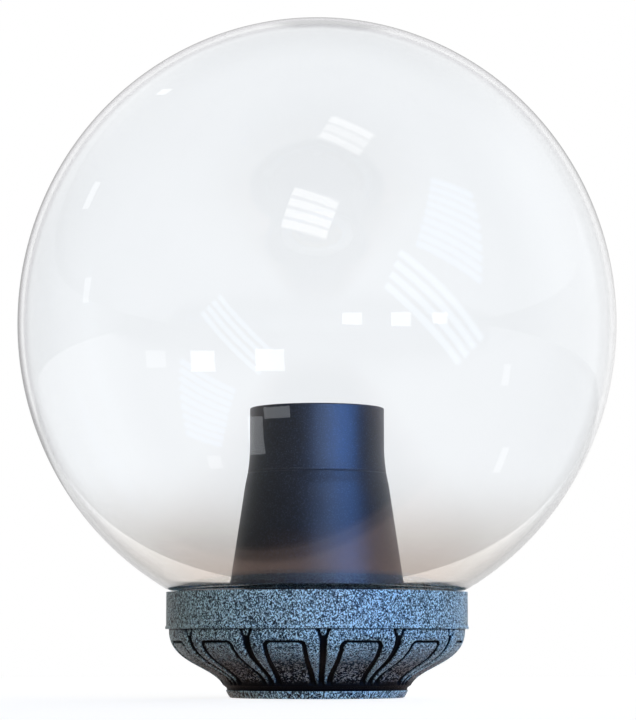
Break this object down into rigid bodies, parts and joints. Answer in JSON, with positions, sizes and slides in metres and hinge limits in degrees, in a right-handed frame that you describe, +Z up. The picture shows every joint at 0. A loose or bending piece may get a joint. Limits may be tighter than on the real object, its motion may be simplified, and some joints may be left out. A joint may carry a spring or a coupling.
{
  "type": "globe wall light",
  "caption": "Clear screw-on globe over a dark tapering shroud and a screw lampholder, on a speckled fluted cast base whose flat foot bolts to an arm.",
  "frame": {"origin": "centre of the foot's flat bottom face, where the head stands on its arm", "axes": "+Z up along the globe's axis, -Y towards the front of the picture, +X to its right"},
  "size_m": [0.25, 0.25, 0.2835],
  "materials": {
    "clear_acrylic": "gloss",
    "antique_cast": "satin",
    "antique_ring": "satin",
    "dark_shroud": "satin",
    "black_tray": "satin",
    "seal_rubber": "matte",
    "porcelain": "gloss",
    "steatite": "matte",
    "brass": "satin",
    "zinc_steel": "satin",
    "white_plastic": "satin",
    "brown_wire": "satin",
    "blue_wire": "satin",
    "earth_wire": "satin"
  },
  "bodies": {
    "base": {"collar_ring": "antique_ring", "ring_screws": "zinc_steel", "fluted_base": "antique_cast", "foot_gasket": "seal_rubber", "cable_grommet": "seal_rubber", "wiring_tray": "black_tray", "lamp_shroud": "dark_shroud", "shroud_screws": "zinc_steel", "holder_nipple": "zinc_steel", "nipple_washer": "zinc_steel", "nipple_nut": "brass", "holder_dome": "porcelain", "holder_sleeve": "porcelain", "holder_insert": "steatite", "threaded_shell": "brass", "contact_spring": "zinc_steel", "holder_terminals": "brass", "terminal_block": "white_plastic", "terminal_tubes": "brass", "terminal_screws": "zinc_steel", "block_screws": "zinc_steel", "cord_clamp": "black_tray", "clamp_screws": "zinc_steel", "earth_tag": "brass", "earth_screw": "zinc_steel", "wire_live": "brown_wire", "wire_neutral": "blue_wire", "wire_earth": "earth_wire"},
    "neck_gasket": {"neck_gasket": "seal_rubber"},
    "globe": {"globe": "clear_acrylic"},
    "centre_contact": {"centre_contact": "brass"},
    "side_contact": {"side_contact": "brass"}
  },
  "joints": [
    {"name": "globe_lift", "type": "slide", "parent": "base", "child": "neck_gasket", "axis": [0, 0, 1], "range_m": [0, 0.0113]},
    {"name": "globe_turn", "type": "hinge", "parent": "neck_gasket", "child": "globe", "pos_m": [0, 0, 0.0332], "axis": [0, 0, 1], "range_deg": [0, 270]},
    {"name": "centre_press", "type": "slide", "parent": "base", "child": "centre_contact", "axis": [0, 0, 1], "range_m": [-0.0012, 0], "stiffness_N_per_m": 800, "springref_m": 0.001, "deforming": ["contact_spring"]},
    {"name": "side_press", "type": "slide", "parent": "base", "child": "side_contact", "axis": [1, 0, 0], "range_m": [0, 0.0005], "stiffness_N_per_m": 1000, "springref_m": -0.0003}
  ],
  "couplings": [
    {"joint": "globe_lift", "follows": "globe_turn", "m_per_rad": 0.0023873}
  ]
}
